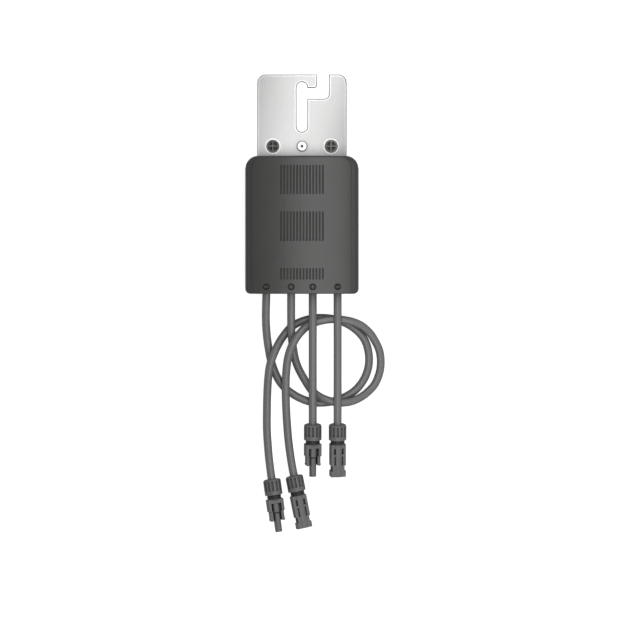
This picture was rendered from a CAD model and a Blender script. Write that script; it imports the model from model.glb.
import math

import bmesh
import bpy
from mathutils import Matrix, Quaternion, Vector


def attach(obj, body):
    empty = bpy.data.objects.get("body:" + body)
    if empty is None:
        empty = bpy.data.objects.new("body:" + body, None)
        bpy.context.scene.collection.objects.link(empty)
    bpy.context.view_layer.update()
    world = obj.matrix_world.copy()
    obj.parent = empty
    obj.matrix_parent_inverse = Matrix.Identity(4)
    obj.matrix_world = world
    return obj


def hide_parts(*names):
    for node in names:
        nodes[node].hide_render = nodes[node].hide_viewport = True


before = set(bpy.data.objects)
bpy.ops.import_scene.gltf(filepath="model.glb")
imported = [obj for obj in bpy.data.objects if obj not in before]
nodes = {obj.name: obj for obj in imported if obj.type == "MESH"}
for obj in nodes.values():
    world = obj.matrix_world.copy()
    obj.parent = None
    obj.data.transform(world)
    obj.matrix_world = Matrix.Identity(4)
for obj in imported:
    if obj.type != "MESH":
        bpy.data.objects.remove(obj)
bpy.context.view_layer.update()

# Front cover: the deep shell that closes over the electronics, with three panels of grooves.
# It is injection moulded in dark grey glass-filled nylon, with a fine spark-eroded skin.


def linear(code):
    """sRGB hex colour as the linear RGBA that the shaders work in."""
    parts = [int(code[k:k + 2], 16) / 255 for k in (1, 3, 5)]
    return [p / 12.92 if p <= 0.04045 else ((p + 0.055) / 1.055) ** 2.4 for p in parts] + [1.0]


def add(tree, kind, inputs, **settings):
    """Adds a node with its settings; an input is a fixed value or the socket it is linked to."""
    node = tree.nodes.new(kind)
    for name, value in settings.items():
        setattr(node, name, value)
    for name, value in inputs.items():
        if isinstance(value, bpy.types.NodeSocket):
            tree.links.new(value, node.inputs[name])
        else:
            node.inputs[name].default_value = value
    return node


def new_material(name, **sockets):
    """A material with its principled shader, whose fixed values are set on its own sockets."""
    made = bpy.data.materials.new(name)
    made.use_nodes = True
    shader = made.node_tree.nodes["Principled BSDF"]
    for socket, value in sockets.items():
        shader.inputs[socket.replace("_", " ")].default_value = value
    return made, made.node_tree, shader


def dress(made, *names):
    """Gives CAD nodes a material in place of the plain packed one."""
    for name in names:
        slots = nodes[name].data.materials
        slots.clear()
        slots.append(made)


MM = 0.001
COLOUR_A, COLOUR_B, COLOUR_OUT = 6, 7, 2   # the colour sockets of a Mix node


def moulded_nylon(name, dark, light):
    """Glass-filled nylon: an even satin skin, a little mottled where the filler shows.

    The skin's pits are about 0.1 mm; they are drawn at 0.7 mm so that they show at all."""
    made, tree, shader = new_material(name, IOR=1.58)
    place = add(tree, "ShaderNodeTexCoord", {}).outputs["Object"]
    flow = add(tree, "ShaderNodeTexNoise", {"Vector": place, "Scale": 1 / (22 * MM), "Detail": 3.0})
    mottle = add(tree, "ShaderNodeMix", {0: flow.outputs["Fac"], COLOUR_A: linear(dark),
                                         COLOUR_B: linear(light)}, data_type="RGBA")
    pits = add(tree, "ShaderNodeTexNoise", {"Vector": place, "Scale": 1 / (0.7 * MM), "Detail": 2.0})
    satin = add(tree, "ShaderNodeMapRange", {"Value": pits.outputs["Fac"],
                                             "To Min": 0.28, "To Max": 0.38})
    relief = add(tree, "ShaderNodeBump", {"Height": pits.outputs["Fac"], "Strength": 0.35,
                                          "Distance": 0.03 * MM})
    tree.links.new(mottle.outputs[COLOUR_OUT], shader.inputs["Base Color"])
    tree.links.new(satin.outputs["Result"], shader.inputs["Roughness"])
    tree.links.new(relief.outputs["Normal"], shader.inputs["Normal"])
    return made


dress(moulded_nylon("glass_filled_nylon", "#333332", "#3a3a38"), "front_cover")

# The crown is built in flat strips, so the strips are welded and shaded as one curve.
WELD_GAP = 0.002 * MM
CROWN_STRIP_ANGLE = math.radians(28)


def soften(mesh):
    """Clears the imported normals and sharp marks; the piece's modifiers then say what is sharp."""
    for name in ("custom_normal", "sharp_edge", "sharp_face"):
        if name in mesh.attributes:
            mesh.attributes.remove(mesh.attributes[name])
    mesh.polygons.foreach_set("use_smooth", [True] * len(mesh.polygons))


cover = nodes["front_cover"]
soften(cover.data)
cover.modifiers.new("weld", "WELD").merge_threshold = WELD_GAP
split = cover.modifiers.new("split", "EDGE_SPLIT")
split.split_angle = CROWN_STRIP_ANGLE
split.use_edge_sharp = False
cover.modifiers.new("even_flats", "WEIGHTED_NORMAL")

# Polarity marks: a dark printed disc at each lead, with a plain plus or minus left pale.
# They are pad printed on the crown of the front cover, in matt ink.
BODY_HALF_W = 56.5 * MM
BODY_D = 32 * MM
CROWN = 3 * MM
LEAD_X = [-35.5 * MM, -10.75 * MM, 10.75 * MM, 35.5 * MM]
LEAD_IS_PLUS = [False, True, True, False]
MARK_Y = -102.6 * MM
MARK_R = 3.5 * MM
SIGN_HALF_L = 2.1 * MM
SIGN_HALF_W = 0.45 * MM
INK_PROUD = 0.03 * MM
INK_SUNK = 0.1 * MM
MARK_STEPS = 40


def crown_z(x):
    """Height of the crowned front at a place across its width."""
    return BODY_D - CROWN * (x / BODY_HALF_W) ** 2


def printed(outlines, proud):
    """Thin closed films on the crown, one for each outline of points across and along."""
    film = bmesh.new()
    for outline in outlines:
        top = [film.verts.new((x, y, crown_z(x) + proud)) for x, y in outline]
        low = [film.verts.new((x, y, crown_z(x) - INK_SUNK)) for x, y in outline]
        film.faces.new(top)
        film.faces.new(low[::-1])
        for k in range(len(outline)):
            film.faces.new((top[k - 1], low[k - 1], low[k], top[k]))
    bmesh.ops.recalc_face_normals(film, faces=film.faces)
    mesh = bpy.data.meshes.new("film")
    film.to_mesh(mesh)
    film.free()
    return mesh


def place_piece(name, data, made):
    """Puts a new piece in the scene, on the one body that the part has."""
    piece = bpy.data.objects.new(name, data)
    bpy.context.scene.collection.objects.link(piece)
    data.materials.append(made)
    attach(piece, "root")
    return piece


turns = [2 * math.pi * k / MARK_STEPS for k in range(MARK_STEPS)]
discs = [[(x + MARK_R * math.cos(a), MARK_Y + MARK_R * math.sin(a)) for a in turns] for x in LEAD_X]
bar = [(-SIGN_HALF_L, -SIGN_HALF_W), (SIGN_HALF_L, -SIGN_HALF_W),
       (SIGN_HALF_L, SIGN_HALF_W), (-SIGN_HALF_L, SIGN_HALF_W)]
signs = []
for x, is_plus in zip(LEAD_X, LEAD_IS_PLUS):
    signs.append([(x + u, MARK_Y + v) for u, v in bar])
    if is_plus:
        signs.append([(x - v, MARK_Y + u) for u, v in bar])


def mottled(name, colours, patch, gloss, detail=3.0, relief=None, **sockets):
    """A material whose colour and roughness change together, over patches of one real size.

    Where it has relief, which is a strength and a depth, the same patches stand proud."""
    made, tree, shader = new_material(name, **sockets)
    place = add(tree, "ShaderNodeTexCoord", {}).outputs["Object"]
    noise = add(tree, "ShaderNodeTexNoise", {"Vector": place, "Scale": 1 / patch, "Detail": detail})
    tone = add(tree, "ShaderNodeMix", {0: noise.outputs["Fac"], COLOUR_A: linear(colours[0]),
                                       COLOUR_B: linear(colours[1])}, data_type="RGBA")
    rough = add(tree, "ShaderNodeMapRange", {"Value": noise.outputs["Fac"],
                                             "To Min": gloss[0], "To Max": gloss[1]})
    tree.links.new(tone.outputs[COLOUR_OUT], shader.inputs["Base Color"])
    tree.links.new(rough.outputs["Result"], shader.inputs["Roughness"])
    if relief:
        skin = add(tree, "ShaderNodeBump", {"Height": noise.outputs["Fac"], "Strength": relief[0],
                                            "Distance": relief[1]})
        tree.links.new(skin.outputs["Normal"], shader.inputs["Normal"])
    return made


# Pad-printing ink: matt and slightly patchy, where the pad left it thinner.
black = mottled("black_ink", ("#232322", "#1c1c1b"), 1.5 * MM, (0.7, 0.85), detail=2.0, IOR=1.4)
grey = mottled("grey_ink", ("#5a5a58", "#646462"), 1.5 * MM, (0.7, 0.85), detail=2.0, IOR=1.4)
place_piece("polarity_discs", printed(discs, INK_PROUD), black)
place_piece("polarity_signs", printed(signs, 2 * INK_PROUD), grey)

# Rear cover: the flat back with its tongue, on which the plate is fixed over two cored bosses.
# It is moulded in a paler batch of that nylon, and a rubber cord between the covers seals them.
dress(moulded_nylon("pale_glass_filled_nylon", "#767674", "#80807e"), "rear_cover")

# EPDM rubber: moulded and matt, with a faint dusty bloom.
# The bloom's specks are far below 0.1 mm; they are drawn at 0.8 mm so that they show.
rubber = mottled("epdm_rubber", ("#1a1a1a", "#272726"), 0.8 * MM, (0.6, 0.8),
                 relief=(0.4, 0.04 * MM), IOR=1.5)
dress(rubber, "cover_seal")

# Mounting plate: the stamped bracket that hooks on a bolt of the panel's frame.
# It is 2 mm stainless sheet, cold rolled along its length and left bright.

# Cold-rolled stainless steel: bright and smooth, with fine rolling lines and a faint stain.
# Rolling lines are about 0.05 mm apart; they are drawn at 0.5 mm so that they show.
# The sheared edges are dull and dark, and a band beside each is burnished paler by the tool.
# A grey film stays on the sheet close to the housing, where no cloth reaches.
BURNISH_W = 2.4 * MM
FILM_REACH = 14 * MM
steel, tree, shader = new_material("rolled_stainless_steel", Metallic=0.75)
place = add(tree, "ShaderNodeTexCoord", {}).outputs["Object"]
along = add(tree, "ShaderNodeMapping", {"Vector": place,
                                        "Scale": (1 / (0.5 * MM), 1 / (60 * MM), 1 / (0.5 * MM))})
lines = add(tree, "ShaderNodeTexNoise", {"Vector": along.outputs["Vector"], "Scale": 1.0,
                                         "Detail": 2.0})
stain = add(tree, "ShaderNodeTexNoise", {"Vector": place, "Scale": 1 / (35 * MM), "Detail": 2.0})
bright = add(tree, "ShaderNodeMix", {0: stain.outputs["Fac"], COLOUR_A: linear("#b6b6b6"),
                                     COLOUR_B: linear("#bebebd")}, data_type="RGBA")
# Eased over the burnished width, the normal turns only near an edge.
facing = add(tree, "ShaderNodeNewGeometry", {})
eased = add(tree, "ShaderNodeBevel", {"Radius": BURNISH_W}, samples=8)
turned = add(tree, "ShaderNodeVectorMath", {0: eased.outputs["Normal"], 1: facing.outputs["Normal"]},
             operation="DOT_PRODUCT")
near_edge = add(tree, "ShaderNodeMapRange", {"Value": turned.outputs["Value"], "From Min": 0.999,
                                             "From Max": 0.988})
burnished = add(tree, "ShaderNodeMix", {0: near_edge.outputs["Result"],
                                        COLOUR_A: bright.outputs[COLOUR_OUT],
                                        COLOUR_B: linear("#f4f4f4")}, data_type="RGBA")
open_air = add(tree, "ShaderNodeAmbientOcclusion", {"Distance": FILM_REACH}, samples=8)
wiped = add(tree, "ShaderNodeMix", {0: open_air.outputs["AO"], COLOUR_A: linear("#404040"),
                                    COLOUR_B: burnished.outputs[COLOUR_OUT]}, data_type="RGBA")
# A face of the sheet that isn't level is on a sheared edge.
upright = add(tree, "ShaderNodeSeparateXYZ", {"Vector": facing.outputs["Normal"]})
level = add(tree, "ShaderNodeMath", {0: upright.outputs["Z"]}, operation="ABSOLUTE")
on_edge = add(tree, "ShaderNodeMapRange", {"Value": level.outputs["Value"], "From Min": 0.998,
                                           "From Max": 0.95})
sheared = add(tree, "ShaderNodeMix", {0: on_edge.outputs["Result"],
                                      COLOUR_A: wiped.outputs[COLOUR_OUT],
                                      COLOUR_B: linear("#262626")}, data_type="RGBA")
rolled = add(tree, "ShaderNodeMapRange", {"Value": lines.outputs["Fac"],
                                          "To Min": 0.25, "To Max": 0.33})
drawn = add(tree, "ShaderNodeBump", {"Height": lines.outputs["Fac"], "Strength": 0.08,
                                     "Distance": 0.02 * MM})
dulled = add(tree, "ShaderNodeMapRange", {"Value": on_edge.outputs["Result"],
                                          "To Min": rolled.outputs["Result"], "To Max": 0.85})
tree.links.new(sheared.outputs[COLOUR_OUT], shader.inputs["Base Color"])
tree.links.new(dulled.outputs["Result"], shader.inputs["Roughness"])
tree.links.new(drawn.outputs["Normal"], shader.inputs["Normal"])
dress(steel, "mounting_plate")

# The outline and the slot are rolled over, which rounds them by almost half the sheet's thickness.
# The two holes over the bosses stay as they were punched.
EDGE_BREAK = 0.9 * MM
EDGE_STEPS = 4
PUNCHED_ANGLE = math.radians(60)
BOSSES = [(-29.1 * MM, 38 * MM), (29.1 * MM, 38 * MM)]
BOSS_CLEAR = 9 * MM
plate = nodes["mounting_plate"]
soften(plate.data)
shape = bmesh.new()
shape.from_mesh(plate.data)
rims = []
for edge in shape.edges:
    start, end = (v.co for v in edge.verts)
    at_boss = any(math.dist(start.xy, boss) < BOSS_CLEAR for boss in BOSSES)
    rims.append(float(edge.is_boundary and start.z == end.z and not at_boss))
shape.free()
weights = plate.data.attributes.new("bevel_weight_edge", "FLOAT", "EDGE")
weights.data.foreach_set("value", rims)
plate.modifiers.new("weld", "WELD").merge_threshold = WELD_GAP
broken = plate.modifiers.new("edge_break", "BEVEL")
broken.width = EDGE_BREAK
broken.segments = EDGE_STEPS
broken.loop_slide = False
broken.use_clamp_overlap = False
broken.limit_method = "WEIGHT"
punched = plate.modifiers.new("punched_rims", "EDGE_SPLIT")
punched.split_angle = PUNCHED_ANGLE
punched.use_edge_sharp = False
plate.modifiers.new("even_flats", "WEIGHTED_NORMAL")

# Blind rivet: holds the plate to the rear cover's tongue between the two bosses.
# Its body is aluminium, and the snapped steel mandrel stays in the middle of its head.

# Aluminium: pale, drawn smooth by the setting tool, with small scuffs about 1 mm long.
# The flank of its head, which the tool doesn't press, has gone dull and dark.
aluminium, tree, shader = new_material("drawn_aluminium", Metallic=1.0)
place = add(tree, "ShaderNodeTexCoord", {}).outputs["Object"]
scuff = add(tree, "ShaderNodeTexNoise", {"Vector": place, "Scale": 1 / (1.0 * MM), "Detail": 3.0})
pale = add(tree, "ShaderNodeMix", {0: scuff.outputs["Fac"], COLOUR_A: linear("#dcdcda"),
                                   COLOUR_B: linear("#ebebea")}, data_type="RGBA")
facing = add(tree, "ShaderNodeNewGeometry", {})
upright = add(tree, "ShaderNodeSeparateXYZ", {"Vector": facing.outputs["Normal"]})
pressed = add(tree, "ShaderNodeMapRange", {"Value": upright.outputs["Z"],
                                           "From Min": 0.8, "From Max": 0.97})
head = add(tree, "ShaderNodeMix", {0: pressed.outputs["Result"], COLOUR_A: linear("#4a4a4a"),
                                   COLOUR_B: pale.outputs[COLOUR_OUT]}, data_type="RGBA")
smooth = add(tree, "ShaderNodeMapRange", {"Value": scuff.outputs["Fac"],
                                          "To Min": 0.3, "To Max": 0.4})
tree.links.new(head.outputs[COLOUR_OUT], shader.inputs["Base Color"])
tree.links.new(smooth.outputs["Result"], shader.inputs["Roughness"])
dress(aluminium, "plate_rivet")

# Zinc-plated steel: much darker than the sheet, under a cloudy dark passivated film.
zinc = mottled("zinc_plated_steel", ("#4a4b4c", "#5a5b5b"), 1.2 * MM, (0.35, 0.5), detail=2.0,
               Metallic=1.0)
dress(zinc, "rivet_mandrel", "board_screws")

# Circuit board and what is soldered on it, closed in by the two covers.
# Moulded, sleeved and sintered parts, each with its own speckled or cloudy surface.
GLOSS_SPREAD = 0.08
MOULDED = ["power_transistors", "bypass_diode", "controller_chip"]
TERMINALS = [name for name in nodes if name.endswith("_terminal")]
INNER = (
    # name, nodes, colours, speckle in mm, roughness, metallic
    ("solder_mask", ["circuit_board"], ("#1f4a2c", "#285a37"), 3.0, 0.4, 0.0),
    ("silicone_pad", ["thermal_pad"], ("#93a1aa", "#a3afb6"), 1.0, 0.8, 0.0),
    ("sintered_ferrite", ["power_inductor"], ("#35353a", "#414146"), 0.8, 0.55, 0.0),
    ("moulded_film_case", ["input_capacitors"], ("#ab7d1e", "#bd8d2b"), 4.0, 0.3, 0.0),
    ("sleeved_can", ["output_capacitors"], ("#26324a", "#303e59"), 4.0, 0.3, 0.0),
    ("epoxy_resin", MOULDED, ("#191919", "#232323"), 0.6, 0.55, 0.0),
    ("bare_copper", TERMINALS, ("#b9683f", "#c9774b"), 2.5, 0.3, 1.0),
)
for name, dressed, colours, speckle, rough, metallic in INNER:
    gloss = (rough - GLOSS_SPREAD, rough + GLOSS_SPREAD)
    dress(mottled(name, colours, speckle * MM, gloss, Metallic=metallic), *dressed)

# Leads: four single-core solar cables, each sealed in the housing's lower wall by a rubber bush.
# Their jacket is extruded cross-linked polyolefin, 8 mm across and stiff enough to hold a loop.
LEADS = ["output_minus", "output_plus", "input_plus", "input_minus"]
CABLE_R = 4 * MM
BASE_Y = -109.5 * MM
LEAD_Z = 17 * MM
LEAD_IN = 12 * MM
STRAIGHT_RUN = 10 * MM
CABLE_STOP = 14.99 * MM
CABLE_LENGTHS = [0.502, 0.485, 0.158, 0.158]
# Where each connector's nut begins, in metres, and the way that its axis points
NUT_AT = [(-0.0302, -0.2945, 0.0096491), (-0.00795, -0.291, 0.0096491),
          (0.01075, -0.2395, 0.0127002), (0.0355, -0.2395, 0.0171723)]
PLUG_AXIS = [(0.13553, -0.98939, -0.052336), (0.193968, -0.979611, -0.052336),
             (0.0, -0.984808, -0.173648), (0.0, -0.979925, -0.199368)]
# The way each cable lies, in mm: across and along from its exit, and the height of its middle
ROUTES = [
    [(-0.5, -22, 14.4), (0, -36, 9.8), (1.6, -51, 5), (5.5, -70, 4.2), (13.5, -88, 4),
     (25.5, -99.5, 4), (42.5, -107.5, 4), (59.5, -108.5, 4), (75.5, -104.3, 4),
     (89.5, -95.5, 4), (99, -82, 4), (102.5, -66, 4), (99, -48, 4), (89.5, -36, 4),
     (74.5, -27.3, 4), (57.5, -24, 4), (39.5, -26, 4), (25.5, -32.6, 4), (16.5, -42.7, 5.4),
     (11, -52, 9.3), (7.4, -60, 12), (5.1, -66, 12.6), (3.2, -73, 12.2), (2, -82, 10),
     (1, -96, 6), (0.5, -114, 4.2), (0.5, -136, 4.2), (1.5, -152, 6), (2.6, -164, 9)],
    [(0, -24, 15), (0.2, -38, 12.6), (1.6, -52, 7.5), (4.2, -66, 4.4), (8, -76, 4.1),
     (14.7, -88, 4.8), (19.8, -95.5, 6.6), (25.8, -101, 9.3), (34, -105.3, 11.8),
     (46, -108.4, 12.4), (58, -107.8, 11), (68, -104, 8), (77, -97.6, 5), (84.5, -88.5, 4.2),
     (89.1, -74, 4), (88.4, -58, 4), (82.3, -44.5, 4.6), (76, -36.5, 7.2), (68, -30.5, 10.2),
     (57, -26.8, 12), (41, -25.3, 12.4), (25.5, -28, 12.7), (15.8, -32.5, 14.3),
     (8.8, -39, 16.5), (3.8, -46, 17.8), (-0.6, -55, 17.5), (-3.6, -66, 15.8),
     (-5.2, -82, 13.6), (-5.5, -96, 12.4), (-5.2, -110, 9.4), (-4.4, -126, 6),
     (-3, -144, 5.4), (-1, -160, 8.2)],
    [(0, -14, 19.3), (0, -30, 21.8), (0, -50, 21.5), (0, -75, 19.8), (0, -100, 17.6)],
    [(0, -12, 18.9), (0, -26, 20.7), (0, -65, 20.6), (0, -90, 20.9), (0, -104, 20.9),
     (0, -112, 20.2)],
]
SPAN_STEPS = 8
JACKET_ROUNDNESS = 10


def lie(points):
    """A smooth line through a cable's points that never sinks into the surface under it."""
    line = []
    ends = [2 * points[0] - points[1], *points, 2 * points[-1] - points[-2]]
    for before, start, end, after in zip(ends, ends[1:], ends[2:], ends[3:]):
        span = (end - start).length
        leave = (end - before) * span / ((start - before).length + span)
        arrive = (after - start) * span / (span + (after - end).length)
        for k in range(SPAN_STEPS):
            t = k / SPAN_STEPS
            line.append((2 * t ** 3 - 3 * t ** 2 + 1) * start + (t ** 3 - 2 * t ** 2 + t) * leave
                        + (3 * t ** 2 - 2 * t ** 3) * end + (t ** 3 - t ** 2) * arrive)
    line.append(points[-1])
    return [Vector((p.x, p.y, max(p.z, CABLE_R))) for p in line]


# Cross-linked polyolefin: a satin grey jacket with a faint drag of the extrusion die.
# The drag marks are about 0.1 mm; they are drawn at 0.9 mm so that they show.
jacket = mottled("cross_linked_polyolefin", ("#626262", "#6b6b6a"), 0.9 * MM, (0.36, 0.44),
                 relief=(0.3, 0.03 * MM), IOR=1.75)
cables = []
for name, x, route, nut, axis in zip(LEADS, LEAD_X, ROUTES, NUT_AT, PLUG_AXIS):
    leaves = Vector((x, BASE_Y, LEAD_Z))
    points = [leaves + Vector((0, LEAD_IN, 0)), leaves]
    points += [Vector((x + u * MM, BASE_Y + v * MM, z * MM)) for u, v, z in route]
    points += [Vector(nut) + w * Vector(axis) for w in (-STRAIGHT_RUN, 0, CABLE_STOP)]
    line = lie(points)
    curve = bpy.data.curves.new(name + "_jacket", "CURVE")
    curve.dimensions = "3D"
    curve.bevel_depth = CABLE_R
    curve.bevel_resolution = JACKET_ROUNDNESS
    curve.use_fill_caps = True
    spline = curve.splines.new("POLY")
    spline.points.add(len(line) - 1)
    for point, at in zip(spline.points, line):
        point.co = (*at, 1.0)
    cable = place_piece(name + "_jacket", curve, jacket)
    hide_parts(name + "_cable")
    cables.append(cable)
dress(rubber, *[name + "_bush" for name in LEADS])

# Connectors: a cap nut, a clamping collet and a seal on each cable, and a latching body in front.
# Nuts and bodies are moulded in grey polyphenylene ether; the contacts in them are tinned copper.

# Polyphenylene ether: a satin moulded grey, scuffed paler where hands turn the nut.
# Flutes and pockets, which no hand reaches, keep the darker skin of the mould.
# The tool's grain is about 0.1 mm; it is drawn at 0.6 mm so that it shows.
POCKET_REACH = 3 * MM
ether, tree, shader = new_material("polyphenylene_ether", IOR=1.55)
place = add(tree, "ShaderNodeTexCoord", {}).outputs["Object"]
grain = add(tree, "ShaderNodeTexNoise", {"Vector": place, "Scale": 1 / (0.6 * MM), "Detail": 2.0})
scuff = add(tree, "ShaderNodeTexNoise", {"Vector": place, "Scale": 1 / (6 * MM), "Detail": 4.0})
worn = add(tree, "ShaderNodeMix", {0: scuff.outputs["Fac"], COLOUR_A: linear("#5b5b5b"),
                                   COLOUR_B: linear("#696968")}, data_type="RGBA")
open_air = add(tree, "ShaderNodeAmbientOcclusion", {"Distance": POCKET_REACH}, samples=8,
               only_local=True)
reached = add(tree, "ShaderNodeMapRange", {"Value": open_air.outputs["AO"],
                                           "From Min": 0.4, "From Max": 0.9})
rubbed = add(tree, "ShaderNodeMix", {0: reached.outputs["Result"], COLOUR_A: linear("#1c1c1c"),
                                     COLOUR_B: worn.outputs[COLOUR_OUT]}, data_type="RGBA")
satin = add(tree, "ShaderNodeMapRange", {"Value": grain.outputs["Fac"],
                                         "To Min": 0.38, "To Max": 0.5})
relief = add(tree, "ShaderNodeBump", {"Height": grain.outputs["Fac"], "Strength": 0.3,
                                      "Distance": 0.03 * MM})
tree.links.new(rubbed.outputs[COLOUR_OUT], shader.inputs["Base Color"])
tree.links.new(satin.outputs["Result"], shader.inputs["Roughness"])
tree.links.new(relief.outputs["Normal"], shader.inputs["Normal"])
dress(ether, *[name + end for name in LEADS for end in ("_nut", "_connector")])

# Nylon collets: darker than the bodies, with a slightly waxy skin.
waxy = mottled("unfilled_nylon", ("#262626", "#2f2f2f"), 2 * MM, (0.35, 0.45), detail=2.0, IOR=1.53)
dress(waxy, *[name + "_collet" for name in LEADS])
dress(rubber, *[name for name in nodes if name.endswith(("_gland_seal", "_nose_ring"))])

# Tinned copper: a soft white metal with faint rubbed streaks where a pin slides.
tin = mottled("tinned_copper", ("#c4c6c8", "#d8d9da"), 1.5 * MM, (0.22, 0.36), Metallic=1.0)
dress(tin, *[name + "_contact" for name in LEADS])

# Gland thread: the turns left bare on each neck between its nut and its body.
# They are moulded with a rounded crest; the nut's own thread is hidden in it.
# Each cable is then stated as a cord, with the pieces that ride on its end.
NECK_R = 6.7 * MM
NECK_FROM, NECK_TO = 15.5 * MM, 20 * MM
THREAD_PITCH = 1.5 * MM
THREAD_RISE = 0.45 * MM
TURN_STEPS = 64
RISE_STEPS = 6
for name, x, nut, axis, cable, length in zip(LEADS, LEAD_X, NUT_AT, PLUG_AXIS, cables, CABLE_LENGTHS):
    rings = bmesh.new()
    to_lead = Vector(axis).to_track_quat("Z", "Y")
    rows = []
    count = round((NECK_TO - NECK_FROM) / THREAD_PITCH) * RISE_STEPS
    for k in range(count + 1):
        along = NECK_FROM + k * (NECK_TO - NECK_FROM) / count
        rows.append([])
        for turn in range(TURN_STEPS):
            phase = 2 * math.pi * (k / RISE_STEPS - turn / TURN_STEPS)
            r = NECK_R + THREAD_RISE * (0.5 - 0.5 * math.cos(phase))
            a = 2 * math.pi * turn / TURN_STEPS
            at = Vector((r * math.cos(a), r * math.sin(a), along))
            rows[-1].append(rings.verts.new(to_lead @ at + Vector(nut)))
    for low, high in zip(rows, rows[1:]):
        for turn in range(TURN_STEPS):
            rings.faces.new((low[turn - 1], low[turn], high[turn], high[turn - 1]))
    rings.faces.new(rows[0][::-1])
    rings.faces.new(rows[-1])
    mesh = bpy.data.meshes.new(name + "_thread")
    rings.to_mesh(mesh)
    rings.free()
    thread = place_piece(name + "_thread", mesh, waxy)

# Studio: a white paper sweep under the part, a soft dome of light and softboxes overhead.
# The paper shows white to the camera and in bare metal, with the part's soft shadow.
# Otherwise it throws back only a dim light, and its glow isn't a lamp.
FLOOR_HALF = 15.0
FLOOR_Z = -0.2 * MM
PAPER_GLOW = 0.84
sweep = bpy.data.meshes.new("paper_sweep")
corners = [(-FLOOR_HALF, -FLOOR_HALF, FLOOR_Z), (FLOOR_HALF, -FLOOR_HALF, FLOOR_Z),
           (FLOOR_HALF, FLOOR_HALF, FLOOR_Z), (-FLOOR_HALF, FLOOR_HALF, FLOOR_Z)]
sweep.from_pydata(corners, [], [range(len(corners))])
floor = bpy.data.objects.new("paper_sweep", sweep)
bpy.context.scene.collection.objects.link(floor)
paper = bpy.data.materials.new("white_paper")
paper.use_nodes = True
tree = paper.node_tree
tree.nodes.clear()
path = add(tree, "ShaderNodeLightPath", {})
matt = add(tree, "ShaderNodeBsdfDiffuse", {"Color": linear("#c4c4c4")})
thrown = add(tree, "ShaderNodeBsdfDiffuse", {"Color": linear("#a8a8a8")})
glow = add(tree, "ShaderNodeEmission", {"Color": linear("#ffffff"), "Strength": PAPER_GLOW})
shown = add(tree, "ShaderNodeAddShader", {0: matt.outputs[0], 1: glow.outputs[0]})
mirrored = add(tree, "ShaderNodeMath", {0: path.outputs["Is Glossy Ray"],
                                        1: path.outputs["Is Transmission Ray"]}, operation="MAXIMUM")
seen = add(tree, "ShaderNodeMath", {0: path.outputs["Is Camera Ray"], 1: mirrored.outputs["Value"]},
           operation="MAXIMUM")
mixed = add(tree, "ShaderNodeMixShader", {0: seen.outputs["Value"], 1: thrown.outputs[0],
                                          2: shown.outputs[0]})
add(tree, "ShaderNodeOutputMaterial", {"Surface": mixed.outputs[0]})
paper.cycles.emission_sampling = "NONE"
sweep.materials.append(paper)

# The dome is dim overhead and paler toward the horizon, like a room with white walls.
DOME_TOP = 0.33
DOME_LOW = 0.66
world = bpy.data.worlds.new("studio_dome")
bpy.context.scene.world = world
world.use_nodes = True
tree = world.node_tree
tree.nodes.clear()
look = add(tree, "ShaderNodeTexCoord", {})
upward = add(tree, "ShaderNodeSeparateXYZ", {"Vector": look.outputs["Generated"]})
fade = add(tree, "ShaderNodeMapRange", {"Value": upward.outputs["Z"],
                                        "From Min": 0.15, "From Max": 0.7,
                                        "To Min": DOME_LOW, "To Max": DOME_TOP})
dome = add(tree, "ShaderNodeBackground", {"Color": linear("#ffffff"),
                                          "Strength": fade.outputs["Result"]})
add(tree, "ShaderNodeOutputWorld", {"Surface": dome.outputs[0]})

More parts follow.
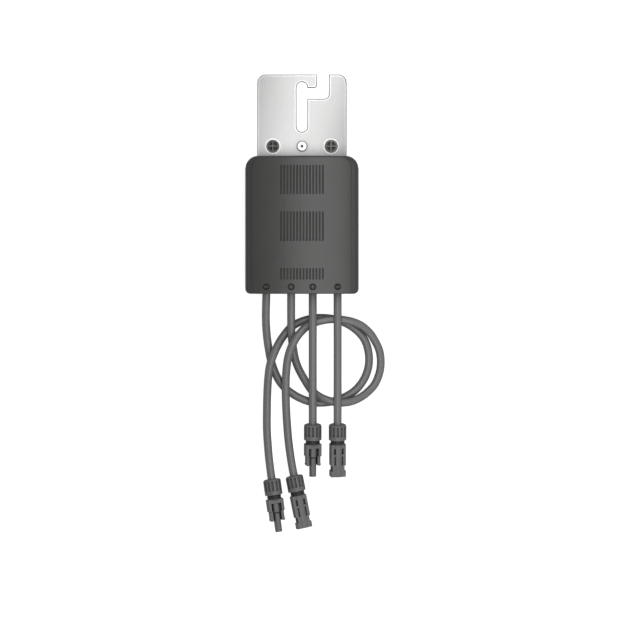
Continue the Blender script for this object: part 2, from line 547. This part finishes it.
# Softboxes over the bracket and over the housing, each named for what it lights.
SOFTBOXES = (
    # name, place, looks at, turn in degrees, width, length, radiance
    ("bracket_softbox", (0.04, 0.2367, 0.28), (0.04, 0.2367, 0.0), -13.0, 0.076, 0.58, 2.25),
    ("bracket_left_light", (-0.45, 0.07, 0.4), (0.0, 0.07, 0.0), 0.0, 0.3, 0.5, 3.0),
    ("bracket_upper_light", (0.0, 0.52, 0.4), (0.0, 0.07, 0.0), 0.0, 0.3, 0.5, 3.0),
    ("housing_softbox", (0.034, -0.19, 0.28), (0.034, -0.19, 0.0), 0.0, 0.116, 1.0, 2.2),
    ("housing_side_softbox", (0.26, -0.16, 0.24), (0.04, -0.12, 0.0), 0.0, 0.7, 0.12, 0.9),
)
# Flags keep the bracket's light off the rest, and the housing's light off the bracket.
# Another set keeps the paper's glow off the plastics, so that only bare metal mirrors it.
METAL = ["mounting_plate", "plate_rivet", "rivet_mandrel", *[name + "_contact" for name in LEADS]]
FLAGS = (
    # name, nodes, whether they are the ones that are lit
    ("bracket", ["mounting_plate"], "INCLUDE"),
    ("housing", ["mounting_plate"], "EXCLUDE"),
    ("paper", METAL, "INCLUDE"),
)
flags = {}
for side, flagged, state in FLAGS:
    flags[side] = bpy.data.collections.new(side + "_flags")
    for name in flagged:
        flags[side].objects.link(nodes[name])
    for entry in flags[side].collection_objects:
        entry.light_linking.link_state = state
floor.light_linking.receiver_collection = flags["paper"]
for name, at, target, turn, width, length, radiance in SOFTBOXES:
    lamp = bpy.data.lights.new(name, "AREA")
    lamp.shape = "RECTANGLE"
    lamp.size = width
    lamp.size_y = length
    lamp.energy = radiance * math.pi * width * length
    box = bpy.data.objects.new(name, lamp)
    box.location = at
    aim = (Vector(target) - Vector(at)).to_track_quat("-Z", "Y")
    box.rotation_euler = (Quaternion((0, 0, 1), math.radians(turn)) @ aim).to_euler()
    box.visible_camera = False
    bpy.context.scene.collection.objects.link(box)
    box.light_linking.receiver_collection = flags[name.split("_")[0]]

# Camera: straight above the part, far off with a long lens, as for a catalogue picture.
# The view is as many millimetres wide as the picture has pixels.
VIEW_W = 0.625
CAMERA_AT = (0.0105, -0.1281, 5.0)
view = bpy.data.cameras.new("camera")
view.sensor_width = 36.0
view.lens = view.sensor_width * CAMERA_AT[2] / VIEW_W
view.clip_end = 100.0
camera = bpy.data.objects.new("camera", view)
camera.location = CAMERA_AT
bpy.context.scene.collection.objects.link(camera)
bpy.context.scene.camera = camera
bpy.context.scene.view_settings.view_transform = "Standard"
